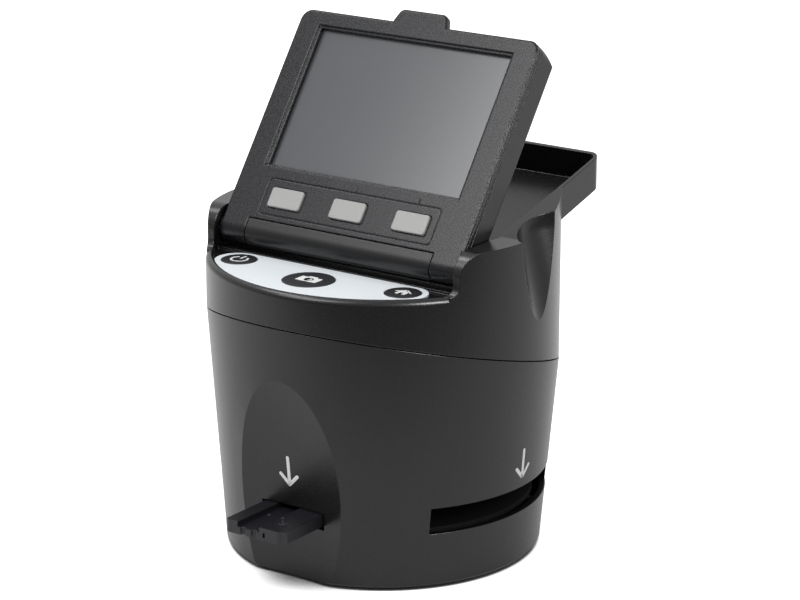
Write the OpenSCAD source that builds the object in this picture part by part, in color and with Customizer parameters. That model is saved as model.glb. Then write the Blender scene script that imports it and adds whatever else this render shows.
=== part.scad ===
// Desktop film negative scanner with a round two-part housing and a tilting screen.
// Origin: centre of the flat underside of the housing. +Z up, -Y towards the user.

/* [Housing] */
// Outer radius of the upper housing
body_r = 60.2; // [59.5:0.1:61]
// How much wider than the upper housing the leaning lower one is where their axes cross the parting line
seam_swell = 0.12; // [0:0.02:0.2]
// Growth of the lower housing's radius for each millimetre of height
base_taper = 0.081; // [0.079:0.001:0.083]
// Backward lean of the lower housing, which brings it flush with the upper one all round
base_lean = 1.0; // [0.8:0.1:1.2]
// Wall thickness of both housings
wall = 2.2; // [1.8:0.1:2.6]
// Height of the parting line on the body's axis
seam_z = 73.1; // [71:0.1:75]
// Tilt of the parting line, higher at the front
seam_tilt = 14.4; // [13:0.1:15]
// Open groove at the parting line
seam_gap = 0.4; // [0.2:0.1:0.6]

/* [Front scoop] */
// Radius of the hollow above and around the front slot
scoop_r = 185; // [175:1:195]
// Depth of the scoop's deepest point inside the upper housing's radius
scoop_in = 9.5; // [9:0.1:9.8]
// Height of the scoop's deepest point
scoop_z = 16; // [14:0.5:18]

/* [Slots] */
// Width of the adapter slots in the sides
adapter_w = 69; // [66:0.5:69.5]
// Height of the adapter slots
adapter_h = 9.2; // [8.6:0.1:9.6]
// Height of the adapter slots' lower edge above the underside
adapter_z = 18.8; // [18.4:0.1:19]
// Width of the film insert
insert_w = 24.6; // [23:0.1:25]
// Thickness of the film insert
insert_t = 4.3; // [4:0.1:4.4]
// Length of the film insert
insert_l = 103; // [90:1:104]
// How far the film insert stands out beyond the upper housing's radius
insert_out = 12.8; // [10:0.2:16]
// Clearance at each side of the film insert
insert_gap = 0.6; // [0.4:0.1:0.8]
// Width of the film channel in the insert
film_w = 9.1; // [8.4:0.1:10]
// Depth of the film channel
film_d = 1.7; // [1.2:0.1:2]

/* [Rear sockets] */
// Width of the flat pocket that holds the sockets
socket_panel_w = 48; // [44:1:50]
// Height of the flat pocket
socket_panel_h = 17; // [15:0.5:19]
// Height of the middle of the pocket
socket_panel_z = 45; // [43:0.5:46]
// Depth of the pocket's face inside the upper housing's radius
socket_panel_in = 8.6; // [8.2:0.1:9.2]

/* [Top] */
// Height of the rim round the key plate
rim_z = 101.2; // [100.8:0.1:101.6]
// Height of the shelf that carries the key plate
shelf_z = 100.2; // [99.9:0.1:100.4]
// Radius of the rounding on the front rim
rim_fillet = 2.0; // [1.2:0.1:2.2]
// Radius of the hollow at the foot of each ear
ear_fillet = 3.0; // [2:0.1:3.6]
// Width of the raised lip outside the key plate
lip_w = 2.2; // [1.8:0.1:2.4]
// Tilt of the tray's rim
rim_tilt = 15; // [14.5:0.1:15.5]
// Tilt of the tray's floor, and of the closed screen above it
floor_tilt = 15.5; // [15.2:0.1:15.8]
// Height of the tray's rim above the body's axis
tray_rim_z = 115.7; // [115.2:0.1:116]
// Space between the tray's floor and the closed screen
floor_gap = 0.45; // [0.35:0.05:0.6]
// Thickness of the tray's walls and floor
tray_wall = 1.3; // [1.1:0.1:1.5]
// How far the tray's back face lies inside the upper housing's radius
tray_in = 2.6; // [1.8:0.1:3.2]
// Radius of the tray's back corners
tray_corner_r = 4.5; // [3.5:0.1:5.5]
// Radius of the hollow finger grip in each side
grip_r = 13.7; // [12:0.1:14.2]
// Distance of the finger grip's axis outside the upper housing's radius
grip_out = 5.8; // [5.4:0.1:6.8]
// Place of the finger grip along the side
grip_y = 6.8; // [5:0.1:9]
// Height at which the finger grip starts to run out
grip_z = 117; // [114:0.5:119]
// Tilt of the finger grip's lower part
grip_tilt = 14.6; // [13:0.1:16]

/* [Key plate] */
// Gap between the key plate's curved front edge and the lip
plate_front_gap = 0.4; // [0.3:0.1:0.8]
// Gap between the key plate's straight rear edge and the hinge barrel
plate_rear_gap = 0.3; // [0.2:0.1:0.6]
// Radius of the key plate's two ends
plate_end_r = 7.9; // [7.6:0.1:8.2]
// Thickness of the key plate
plate_t = 1.6; // [1.4:0.1:1.8]
// Height of the key plate above the shelf
plate_proud = 0.6; // [0.4:0.1:0.8]
// Radius of the two small round keys
small_key_r = 6.1; // [5.6:0.1:6.4]
// Radius of the middle round key
big_key_r = 8.8; // [8:0.1:9.2]
// How far the small keys lie inside the centres of the plate's round ends
small_key_in = 0.6; // [0.2:0.1:1]
// Distance of the middle key's centre from the plate's front edge
big_key_in = 15.9; // [15:0.1:16.6]
// Clearance round every key
key_gap = 0.25; // [0.2:0.05:0.35]
// Travel of every key
key_travel = 0.6; // [0.4:0.05:0.65]
// Height of the round keys above the plate
key_proud = 0.15; // [0.1:0.05:0.4]

/* [Screen] */
// Angle of the open screen from upright
screen_lean = 35.8; // [34:0.1:37]
// Space between the screen case and each ear
case_side_gap = 0.6; // [0.5:0.1:0.9]
// Space between the top end of the closed case and the tray's back wall
case_end_gap = 0.9; // [0.7:0.1:1.4]
// Distance from the hinge axis to the bezel's face
face_z = 5.5; // [5.4:0.05:5.6]
// Thickness of the screen case
case_t = 12.4; // [12.2:0.1:12.5]
// Slant of the case's top end behind the bezel
cover_draft = 23; // [20:1:26]
// Thickness of the bezel, the case's front part
bezel_t = 3.1; // [3:0.1:3.3]
// Groove between the bezel and the back cover
case_groove = 0.4; // [0.3:0.1:0.5]
// Radius of the case's top corners
case_corner_r = 4; // [3:0.5:6]
// Wall thickness of the screen case
case_wall = 1.6; // [1.4:0.1:1.8]
// Width of the opening tab at its foot
tab_w = 22.4; // [18:0.1:26]
// Height of the opening tab
tab_h = 4.8; // [4:0.1:5]
// Thickness of the opening tab
tab_t = 2.4; // [2:0.1:2.8]
// Width of the bezel beside the screen opening
view_side = 8.6; // [8.4:0.1:10]
// Width of the bezel above the screen opening
view_top = 5.25; // [5:0.05:6]
// Distance from the hinge axis to the lower edge of the screen opening
view_foot = 22.14; // [22:0.01:23]
// Depth of the window below the bezel's face
window_d = 2.6; // [2.2:0.1:2.7]
// Width of a soft key
soft_w = 13.3; // [12:0.1:14]
// Height of a soft key
soft_h = 7.0; // [6:0.1:7.4]
// Spacing of the soft keys
soft_pitch = 25.8; // [24:0.1:26.4]
// Distance from the hinge axis to the soft keys
soft_y = 11.3; // [11:0.1:11.8]
// Height of the soft keys above the bezel
soft_proud = 0.8; // [0.7:0.1:1.1]

/* [Hinge] */
// Distance of the hinge axis behind the upper housing's front
hinge_in = 38.1; // [37.8:0.1:38.3]
// Height of the hinge axis
hinge_z = 107.0; // [106.8:0.1:107.4]
// Radius of the ears round the hinge axis
ear_r = 7.9; // [7.7:0.1:8.1]
// Radius of the hollow hinge pins
pin_r = 2.0; // [1.8:0.05:2.2]
// Running clearance of the hinge pins in the screen
pin_gap = 0.05; // [0.03:0.01:0.08]
// Thickness of the ears at the hinge axis
ear_t = 6.5; // [6.2:0.1:6.6]
// Thickness of the hinge washers
washer_t = 0.5; // [0.4:0.02:0.56]

/* [Inside] */
// Thickness of the base plate
base_t = 2.0; // [1.6:0.1:2.4]
// Height of the rubber feet below the underside
foot_h = 1.0; // [0.8:0.1:1.4]
// Radius of the rubber feet
foot_r = 5; // [4:0.1:6]
// Thickness of the film guide plates
guide_t = 1.8; // [1.6:0.1:2]
// Thickness of circuit boards
board_t = 1.6; // [1.4:0.1:1.8]
// Radius of the lens barrel
lens_r = 8; // [6.5:0.1:9]
// Radius of the housing screws' shanks
screw_r = 1.3; // [1.2:0.05:1.4]
// Radius of the housing screws' heads
screw_head_r = 2.5; // [2.2:0.05:2.6]

/* [Hidden] */
$fn = 96;

black = [0.16, 0.16, 0.17];
graphite = [0.22, 0.22, 0.24];
ink = [0.12, 0.12, 0.15];
white = [0.93, 0.95, 0.97];
key_grey = [0.72, 0.72, 0.69];
steel = [0.72, 0.73, 0.75];
pcb_green = [0.1, 0.35, 0.2];
eps = 0.02;                               // overshoot that keeps cuts clean
far = 200;                                // larger than the whole object
fit = 0.1;                                // clearance of parts that are fixed together
sill_gap = 0.45;                          // between the hinge barrel and the sill under it
seat_gap = 0.3;                           // clearance of parts that slide
cut_above = 40;                           // reach of the seam's cutting blocks above the rim
cut_below = 43;                           // and below the parting line
top_z = rim_z + cut_above;                // above the whole housing
low_z = seam_z - cut_below;               // below the upper housing

// radii and places that follow from the body
hinge_y = body_r - hinge_in;              // distance of the hinge axis in front of the body's axis
scoop_y = body_r - scoop_in;
insert_reach = body_r + insert_out;
insert_end = insert_l - insert_reach;     // inner end of the film insert
socket_panel_y = body_r - socket_panel_in;
tray_back = body_r - tray_in;
grip_x = body_r + grip_out;
lip_r = body_r - lip_w;
bay_half_w = sqrt(pow(body_r, 2) - pow(hinge_y, 2)) - ear_t;
case_half_w = bay_half_w - case_side_gap;

adapter_top = adapter_z + adapter_h;
guide_z = adapter_z + 0.7;                // upper face of the lower film guide
insert_z = guide_z + seat_gap;            // underside of the film insert
insert_top = insert_z + insert_t;
gate_top = adapter_top - 0.4;             // underside of the upper film guide
tower_z = gate_top + guide_t;             // upper face of the upper film guide
slot_w = insert_w + 2 * insert_gap;
slot_bottom = guide_z - 1.0;
slot_top = insert_top + seat_gap;
guide_r = lower_r(guide_z) - wall - 2.2;  // radius of the lower film guide
gate_w = 38;                              // window in the film guides
gate_d = 26;
leg_t = 2;
leg_w = 4.4;
leg_gap = 0.9;                            // between the sleeve and the upper film guide's legs
sleeve_wall = 1.8;
sleeve_in = slot_w - 2 * seat_gap;
leg_out = sleeve_in / 2 + sleeve_wall + leg_gap + leg_w;
guide_d = adapter_w + 2 * leg_t + 1;      // depth of the upper film guide over its legs

rim_slope = tan(rim_tilt);
floor_slope = tan(floor_tilt);
tray_half_w = bay_half_w + tray_wall;
case_back = face_z - case_t;              // back of the case, measured from the hinge axis
// heights above the body's axis: the tray's floor and its underside
floor_z = hinge_z + hinge_y * floor_slope + (case_back - floor_gap) / cos(floor_tilt);
under_z = floor_z - tray_wall / cos(floor_tilt);
shelf_t = 2.6;
ceiling_z = shelf_z - shelf_t;
ear_front = hinge_y + ear_r;
ear_top = hinge_z + ear_r;
rim_start = (ear_top - tray_rim_z) / rim_slope; // where the tray's rim rises from the ears' tops
plate_floor = shelf_z + plate_proud - plate_t;
plate_r = lip_r - plate_front_gap;
plate_rear = hinge_y + face_z + plate_rear_gap;
plate_end_y = plate_rear + plate_end_r;
sill_front = plate_rear - fit - seat_gap;
sill_back = hinge_y - 0.6;
sill_z = hinge_z - face_z - sill_gap;
plate_end_x = sqrt(pow(plate_r - plate_end_r, 2) - pow(plate_end_y, 2));
small_key_x = plate_end_x - small_key_in;
big_key_y = plate_r - big_key_in;

flange_t = 1.0;
flange_w = 1.0;
stem_r = 2.0;
switch_h = 0.7;
switch_r = 2.4;
key_rest = key_travel + 0.05;             // space between a key's stem and its switch
key_board_z = ceiling_z - 6.2;            // underside of the key board
key_stem_z = key_board_z + board_t + switch_h + key_rest;
key_boss_x = 16;
key_bosses = [
    [-key_boss_x, 14.2 - body_r], [key_boss_x, 14.2 - body_r], [0, 0.9 - plate_rear]
];
key_boss_r = 2.4;
key_screw_r = 0.85;
key_screw_l = 5;

bezel_back = face_z - bezel_t;
cover_front = bezel_back - case_groove;
// length of the case from the hinge axis to its top edge
case_l = (tray_back - tray_wall - case_end_gap + hinge_y) / cos(floor_tilt) + bezel_back * floor_slope;
view_w = 2 * (case_half_w - view_side);
view_h = case_l - view_top - view_foot;
view_y = view_foot + view_h / 2;          // distance from the hinge axis to the middle of the opening
barrel_half_w = case_half_w - 10.9;       // the middle part of the hinge barrel
barrel_edge = 3.0;                        // height of the groove above the barrel's middle part
lug_gap = 0.4;
soft_board_z = -2.1;                      // front face of the screen board
soft_flange_z = bezel_back - 0.05;
soft_stem_z = soft_board_z + switch_h + key_rest;
lcd_t = 2.8;
window_t = 1.0 - fit;
screen_boss_x = case_half_w - 4.5;
screen_boss_r = 1.9;
screen_bosses = [
    [-screen_boss_x, 16], [screen_boss_x, 16],
    [-screen_boss_x, case_l - 8.6], [screen_boss_x, case_l - 8.6]
];
screen_board_w = 2 * (screen_boss_x - screen_boss_r - seat_gap);

ear_bore_d = 5;
pin_bore_r = 1.25;
lead_r = 0.9;
lead_x = bay_half_w + 2.6;
pin_in = 4.8;

// the rear posts stand against the socket board, which the sockets' length sets back from their mouths
post_r = 4.0;
socket_end = socket_panel_y - 0.6;        // the sockets' mouths lie just inside the pocket's face
socket_l = 6.3;
socket_board_y = socket_end - socket_l - board_t;
post_way = post_r + seat_gap;             // radius that other parts leave free round a post
post_rear_y = socket_board_y - post_way;
post_rear = [sqrt(pow(body_r - 9.9, 2) - pow(post_rear_y, 2)), post_rear_y];
post_front_x = leg_out + post_way;        // the front posts stand beside the upper film guide's legs
post_front = [post_front_x, -sqrt(pow(body_r - 11.8, 2) - pow(post_front_x, 2))];
posts = [post_front, [-post_front[0], post_front[1]], post_rear, [-post_rear[0], post_rear[1]]];
post_bore_r = screw_head_r + 0.2;
screw_l = 12;
screw_head_h = 1.6;
post_roof = 5;                            // solid length above a screw head's bore
thread_gap = 0.05;
base_screw_r = 1.1;
base_screw_l = 7;
base_boss = body_r - 16.2;                // distance of the base plate's screws from the axis
base_boss_r = 3;
base_boss_h = 8;
foot_pos = (body_r - 14.2) / sqrt(2);
foot_pocket = 0.5;
rib_angles = [20, 160, 200, 340];
rib_t = 3;

tower_w = 40;
tower_h = 30;
tower_wall = 2;
tower_top = tower_z + tower_h;
lens_l = 18.6;
lens_low = tower_top - 14;                // lower end of the lens barrel
lens_wall = 1.4;
glass_seat = 2.1;                         // depth of the glass's seat in the barrel
sensor_z = tower_top + 6.4;               // underside of the sensor board
sensor_w = 34;
box_w = 56;
box_d = 46;
box_wall = 2.6;
diffuser_t = 1.4;
led_z = base_t + 2;

main_bottom = 33.5;
main_top = 60.5;
main_w = 60;
socket_z = socket_panel_z + 2.6;
card_w = 26;
card_h = 2.8;
card_d = socket_end - tower_w / 2 - 2.0;  // the card socket ends just behind the camera tower
card_z = socket_panel_z - 4.6;
// place across, width, height and centre height of the sockets: power and data, video out, audio and card
sockets = [
    [-16, 8.2, 3.4, socket_z], [-2, 15.2, 5.8, socket_z], [14, 7, 7, socket_z], [0, card_w, card_h, card_z]
];

function polar(r, a) = [r * cos(a), r * sin(a)];
function lower_r(z) = body_r + seam_swell - base_taper * (seam_z - z);
function seam_at(y) = seam_z - tan(seam_tilt) * y;

// ---- shared shapes ----

// The lower housing's cone, made smaller all round by "inset"
module cone(inset = 0) {
    foot = -10;
    rotate([-base_lean, 0, 0])
        translate([0, 0, foot])
            rotate(50)
                cylinder(r1 = lower_r(foot) - inset, r2 = lower_r(top_z) - inset, h = top_z - foot);
}

// Everything between two planes parallel to the parting line
module seam_slab(low, high) {
    translate([0, 0, seam_z])
        rotate([-seam_tilt, 0, 0])
            translate([-far / 2, -far / 2, low])
                cube([far, far, high - low]);
}

// A profile drawn in Y and Z, extruded symmetrically along X
module along_x(w) {
    translate([-w / 2, 0, 0])
        rotate([90, 0, 90])
            linear_extrude(w)
                children();
}

// A box that is centred in X and Y
module block(w, d, z0, z1) {
    translate([-w / 2, -d / 2, z0])
        cube([w, d, z1 - z0]);
}

module tube_solid(r, z0, z1) {
    translate([0, 0, z0])
        rotate(90)
            cylinder(r = r, h = z1 - z0);
}

module at_posts() {
    for (p = posts)
        translate([p[0], p[1], 0])
            children();
}

module at_base_screws() {
    for (a = [0 : 90 : 270])
        rotate(a)
            translate([base_boss, 0, 0])
                children();
}

module scoop_ball(grow = 0) {
    translate([0, -scoop_y - scoop_r, scoop_z])
        sphere(r = scoop_r + grow, $fn = 128);
}

// Flat field on the back for the sockets
module socket_field(inset = 0) {
    w = socket_panel_w + 2 * inset;
    h = socket_panel_h + 2 * inset;
    translate([-w / 2, socket_panel_y - inset, socket_panel_z - h / 2])
        cube([w, far, h]);
}

// ---- lower housing ----

module adapter_slots() {
    translate([-far / 2, -adapter_w / 2, adapter_z])
        cube([far, adapter_w, adapter_h]);
}

module insert_slot() {
    translate([-slot_w / 2, -far, slot_bottom])
        cube([slot_w, far - scoop_y + 20, slot_top - slot_bottom]);
}

module socket_cuts() {
    for (s = sockets)
        translate([s[0] - s[1] / 2 - fit, socket_panel_y - 10, s[3] - s[2] / 2 - fit])
            cube([s[1] + 2 * fit, far, s[2] + 2 * fit]);
}

module lower_shell() {
    color(black)
    difference() {
        intersection() {
            cone();
            inside_base_bevel();
        }
        scoop_ball();
        socket_field();
        difference() {
            cone(wall);
            scoop_ball(wall);
            socket_field(wall);
            lower_posts();
        }
        seam_slab(-seam_gap / 2, far);
        adapter_slots();
        insert_slot();
        socket_cuts();
        at_posts()
            tube_solid(screw_r + fit, -eps, top_z);
        for (p = posts)
            translate([p[0], p[1], 0])
                tube_solid(post_bore_r, -eps, post_head_z(p));
        at_base_screws()
            tube_solid(base_screw_r + thread_gap, -eps, base_t + base_boss_h - 1);
    }
}

// Screw posts, base plate bosses and the ribs that carry the lower film guide
module lower_posts() {
    at_posts()
        tube_solid(post_r, base_t + fit, top_z);
    at_base_screws()
        base_boss_solid();
    for (a = rib_angles)
        rotate(a)
            translate([guide_r - 4.6, -rib_t / 2, base_t + fit])
                cube([far, rib_t, guide_z - guide_t - base_t - fit]);
}

// Height of a shell screw's head seat
function post_head_z(p) = seam_at(p[1]) - post_roof;

module base_boss_solid() {
    tube_solid(base_boss_r, base_t + fit, base_t + base_boss_h);
    translate([0, -1, base_t + fit])
        cube([20, 2, base_boss_h - fit]);
}

// Everything inside the 45 degree bevel round the bottom edge
module inside_base_bevel() {
    bevel = 0.8;
    rotate(50)
        cylinder(r1 = lower_r(0) - bevel, r2 = lower_r(0) - bevel + far, h = far);
}

module base_plate() {
    color(black)
    difference() {
        union() {
            tube_solid(lower_r(0) - wall - 0.2, 0, base_t);
            // pillars under the lamp board
            for (x = [8 - box_w / 2, box_w / 2 - 8], y = [8 - box_d / 2, box_d / 2 - 8])
                translate([x, y, 0])
                    tube_solid(2.5, 0, led_z);
        }
        scoop_ball(wall + seat_gap);
        at_base_screws() {
            tube_solid(screw_r + fit, -eps, far);
            tube_solid(post_bore_r, -eps, 1.2);
        }
        for (x = [-foot_pos, foot_pos], y = [-foot_pos, foot_pos])
            translate([x, y, 0])
                tube_solid(foot_r + fit, -eps, foot_pocket);
    }
}

module rubber_feet() {
    color(ink)
    for (x = [-foot_pos, foot_pos], y = [-foot_pos, foot_pos])
        translate([x, y, 0])
            tube_solid(foot_r, -foot_h, foot_pocket);
}

module screw(head_z, l, r = screw_r, head_r = screw_head_r, head_h = screw_head_h) {
    color(steel) {
        difference() {
            union() {
                tube_solid(head_r, head_z - head_h, head_z);
                tube_solid(r, head_z - eps, head_z + l);
            }
            for (a = [0, 90])
                translate([0, 0, head_z - head_h])
                    rotate(a)
                        block(head_r * 1.3, head_r * 0.26, -eps, head_h * 0.5);
        }
    }
}

module base_screws() {
    at_base_screws()
        screw(1.2, base_screw_l, r = base_screw_r, head_h = 1.1);
}

module shell_screws() {
    for (p = posts)
        translate([p[0], p[1], 0])
            screw(post_head_z(p), screw_l);
}

// ---- upper housing ----

module side_profile() {
    union() {
        translate([-far, 0])
            square([far + 30, rim_z]);
        translate([-hinge_y, hinge_z])
            circle(r = ear_r);
        translate([-ear_front, 0])
            square([far, hinge_z]);
        translate([-hinge_y, 0])
            square([far, ear_top]);
        polygon([[rim_start, 0], [rim_start, ear_top], [far, tray_rim_z + far * rim_slope], [far, 0]]);
        difference() {
            translate([-ear_front - ear_fillet, rim_z - eps])
                square([ear_fillet + eps, ear_fillet + eps]);
            translate([-ear_front - ear_fillet, rim_z + ear_fillet])
                circle(r = ear_fillet);
        }
    }
}

// Everything above the tilted plane that crosses the axis at height z
module above_tilted(z) {
    translate([0, 0, z])
        rotate([floor_tilt, 0, 0])
            translate([-far, -far, 0])
                cube([2 * far, 2 * far, 2 * far]);
}

// Rectangle with two rounded back corners
module tray_outline(half_w, back, r) {
    translate([-half_w, 0])
        square([2 * half_w, back - r]);
    translate([-half_w + r, 0])
        square([2 * half_w - 2 * r, back]);
    for (x = [-half_w + r, half_w - r])
        translate([x, back - r])
            circle(r = r);
}

module tray_solid() {
    intersection() {
        translate([0, 0, ceiling_z - 20])
            linear_extrude(far)
                tray_outline(tray_half_w, tray_back, tray_corner_r);
        along_x(2 * far)
            roof_profile();
    }
}

module tray_hollow() {
    difference() {
        intersection() {
            translate([0, 0, shelf_z - 5])
                linear_extrude(far)
                    union() {
                        tray_outline(bay_half_w, tray_back - tray_wall, tray_corner_r - tray_wall);
                        translate([-bay_half_w, -ear_front])
                            square([2 * bay_half_w, ear_front + eps]);
                    }
            above_tilted(floor_z);
            translate([0, 0, shelf_z])
                cylinder(r = far, h = far);
        }
        // sill that closes the space under the hinge barrel
        translate([-far, -sill_front, 0])
            cube([2 * far, sill_front - sill_back, sill_z]);
    }
}

module finger_grip(grow = 0) {
    r = grip_r + grow;
    l = 60;
    for (side = [0, 1])
        mirror([side, 0, 0])
            translate([grip_x, grip_y, grip_z]) {
                cylinder(r = r, h = l);
                sphere(r = r);
                rotate([0, 180 - grip_tilt, 0])
                    cylinder(r = r, h = l);
            }
}

module rim_rounding() {
    translate([0, 0, rim_z - rim_fillet])
        rotate_extrude($fn = 128)
            difference() {
                translate([body_r - rim_fillet, 0])
                    square([rim_fillet + 5, rim_fillet + 5]);
                translate([body_r - rim_fillet, 0])
                    circle(r = rim_fillet);
            }
}

module plate_outline(grow = 0) {
    // sector between the two ends, a little narrow so that its sides miss the tangent points
    sector_x = 2 * plate_end_x;
    sector_y = -2 * plate_end_y - 1.5;
    intersection() {
        circle(r = plate_r + grow);
        polygon([[0, 0], [-sector_x, sector_y], [0, -far], [sector_x, sector_y]]);
        translate([-far, -far])
            square([2 * far, far - plate_rear + grow]);
    }
    translate([-plate_end_x, -plate_end_y])
        square([2 * plate_end_x, plate_end_r + grow]);
    for (x = [-plate_end_x, plate_end_x])
        translate([x, -plate_end_y])
            circle(r = plate_end_r + grow);
}

// Calls its child at each round key; $key_r is the key's radius
module at_round_key(i) {
    $key_r = (i == 1) ? big_key_r : small_key_r;
    translate([(i - 1) * small_key_x, (i == 1) ? -big_key_y : -plate_end_y, 0])
        children();
}

module upper_shell() {
    color(black)
    difference() {
        intersection() {
            union() {
                tube_solid(body_r, low_z, top_z);
                tray_solid();
            }
            along_x(2 * far)
                side_profile();
            seam_slab(seam_gap / 2, far);
        }
        difference() {
            tube_solid(body_r - wall, low_z - 10, top_z);
            finger_grip(wall);
            along_x(2 * far)
                roof_profile();
            upper_posts();
        }
        finger_grip();
        tray_hollow();
        // shelf in front of the ears, inside the lip
        intersection() {
            tube_solid(lip_r, shelf_z, far);
            translate([-far, -far, 0])
                cube([2 * far, far - ear_front + eps, far]);
        }
        // rounded outer edge of the front rim
        intersection() {
            rim_rounding();
            translate([-far, -far, 0])
                cube([2 * far, far - ear_front - ear_fillet, far]);
        }
        // pocket of the key plate and the holes of its keys
        translate([0, 0, plate_floor - fit])
            linear_extrude(10)
                plate_outline(fit);
        for (i = [0, 1, 2])
            at_round_key(i)
                tube_solid($key_r + key_gap, ceiling_z - 1, plate_floor);
        // bores of the hinge pins, and the way of the screen lead
        for (side = [0, 1])
            mirror([side, 0, 0])
                translate([bay_half_w - eps, -hinge_y, hinge_z])
                    rotate([0, 90, 0])
                        cylinder(r = pin_r + 0.02, h = ear_bore_d);
        translate([-lead_x, -hinge_y, ceiling_z - 10])
            cylinder(r = lead_r + seat_gap, h = hinge_z - ceiling_z + 10);
        for (p = posts)
            translate([p[0], p[1], 0])
                tube_solid(screw_r + thread_gap, low_z, post_head_z(p) + screw_l + 1);
        for (b = key_bosses)
            translate([b[0], b[1], 0])
                tube_solid(key_screw_r + thread_gap, low_z, key_board_z + key_screw_l + 0.5);
    }
    color(black)
        seam_lip();
}

// Section of all that lies above the housing's inner space
module roof_profile() {
    polygon([
        [-far, ceiling_z], [(ceiling_z - under_z) / floor_slope, ceiling_z],
        [far, under_z + far * floor_slope], [far, 2 * far], [-far, 2 * far]
    ]);
}

module upper_posts() {
    for (p = posts)
        translate([p[0], p[1], 0])
            tube_solid(post_r, low_z, top_z);
    for (b = key_bosses)
        translate([b[0], b[1], 0])
            tube_solid(key_boss_r, key_board_z + board_t, top_z);
}

// Lip that reaches down inside the lower housing
module seam_lip() {
    lip_t = 1.2;
    inset = wall + 0.25;
    difference() {
        union() {
            intersection() {
                seam_slab(-3, 1.6);
                cone(inset);
            }
            intersection() {
                seam_slab(seam_gap / 2, 1.6);
                tube_solid(body_r - wall + eps, low_z, top_z);
            }
        }
        cone(inset + lip_t);
        for (p = posts)
            translate([p[0], p[1], 0])
                tube_solid(post_way, low_z, top_z);
        socket_field(wall + seat_gap);
    }
}

module key_plate() {
    color(white)
    difference() {
        translate([0, 0, plate_floor])
            linear_extrude(plate_t)
                plate_outline();
        for (i = [0, 1, 2])
            at_round_key(i)
                tube_solid($key_r + key_gap, 0, far);
    }
}

module round_key(i) {
    crown = 0.15;
    top = shelf_z + plate_proud + key_proud;
    flange_top = ceiling_z - 0.05;
    color(ink)
    at_round_key(i)
        rotate_extrude()
            polygon([
                [0, key_stem_z], [stem_r, key_stem_z], [stem_r, flange_top - flange_t],
                [$key_r + flange_w, flange_top - flange_t], [$key_r + flange_w, flange_top],
                [$key_r, flange_top], [$key_r, top - crown], [$key_r - crown, top], [0, top]
            ]);
}

module power_key() {
    round_key(0);
}

module capture_key() {
    round_key(1);
}

module home_key() {
    round_key(2);
}

module key_board() {
    color(pcb_green)
    difference() {
        intersection() {
            tube_solid(body_r - wall - 1.2, key_board_z, key_board_z + board_t);
            translate([-far, -far, 0])
                cube([2 * far, far - hinge_y + 2, far]);
        }
        for (b = key_bosses)
            translate([b[0], b[1], 0])
                tube_solid(key_screw_r + fit, 0, far);
        for (p = posts)
            translate([p[0], p[1], 0])
                tube_solid(post_way, 0, far);
    }
}

module key_switches() {
    color(steel)
    for (i = [0, 1, 2])
        at_round_key(i)
            tube_solid(switch_r, key_board_z + board_t, key_board_z + board_t + switch_h);
}

module key_board_screws() {
    for (b = key_bosses)
        translate([b[0], b[1], 0])
            screw(key_board_z, key_screw_l, r = key_screw_r, head_r = 1.8, head_h = 1.1);
}

// ---- film path ----

module lower_film_guide() {
    color(graphite)
    difference() {
        tube_solid(guide_r, guide_z - guide_t, guide_z);
        scoop_ball(wall + 1);
        block(gate_w, gate_d, 0, far);
        at_posts()
            tube_solid(post_way, 0, far);
    }
}

module upper_film_guide() {
    color(graphite)
    difference() {
        union() {
            block(2 * (post_rear[0] - post_way), 2 * (-post_front[1] - post_way), gate_top, tower_z);
            block(2 * leg_out, guide_d, gate_top, tower_z);
        }
        block(gate_w, gate_d, 0, far);
    }
}

// Legs on the lower guide, in front of and behind the adapter's way
module guide_legs() {
    leg_x = leg_out - leg_w / 2;
    leg_y = (guide_d - leg_t) / 2;
    color(graphite)
    for (x = [-leg_x, leg_x], y = [-leg_y, leg_y])
        translate([x, y, 0])
            block(leg_w, leg_t, guide_z, gate_top);
}

module guide_sleeve() {
    sleeve_top = insert_top + seat_gap;
    front = wall + 2.0 - scoop_y;
    back = front + 8;
    color(graphite)
    difference() {
        translate([-sleeve_in / 2 - sleeve_wall, front, guide_z])
            cube([sleeve_in + 2 * sleeve_wall, back - front, sleeve_top + sleeve_wall - guide_z]);
        translate([-sleeve_in / 2, front - 1, guide_z - 1])
            cube([sleeve_in, back - front + 2, sleeve_top - guide_z + 1]);
        at_posts()
            tube_solid(post_way, 0, far);
    }
}

// Leaf spring under the upper guide that steadies the insert
module detent_spring() {
    leaf_w = 6;
    leaf_t = 0.4;
    touch = insert_top + seat_gap;
    root = gate_top;
    touch_y = insert_end - 14;
    color(steel)
    translate([7.6, touch_y, 0])
        along_x(leaf_w)
            polygon([
                [8, root], [8, root - leaf_t], [5, root - leaf_t], [0.5, touch], [-0.5, touch],
                [-4, touch + 1.2], [-4, touch + 1.2 + leaf_t], [-0.5, touch + leaf_t],
                [0.5, touch + leaf_t], [5, root]
            ]);
}

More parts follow.
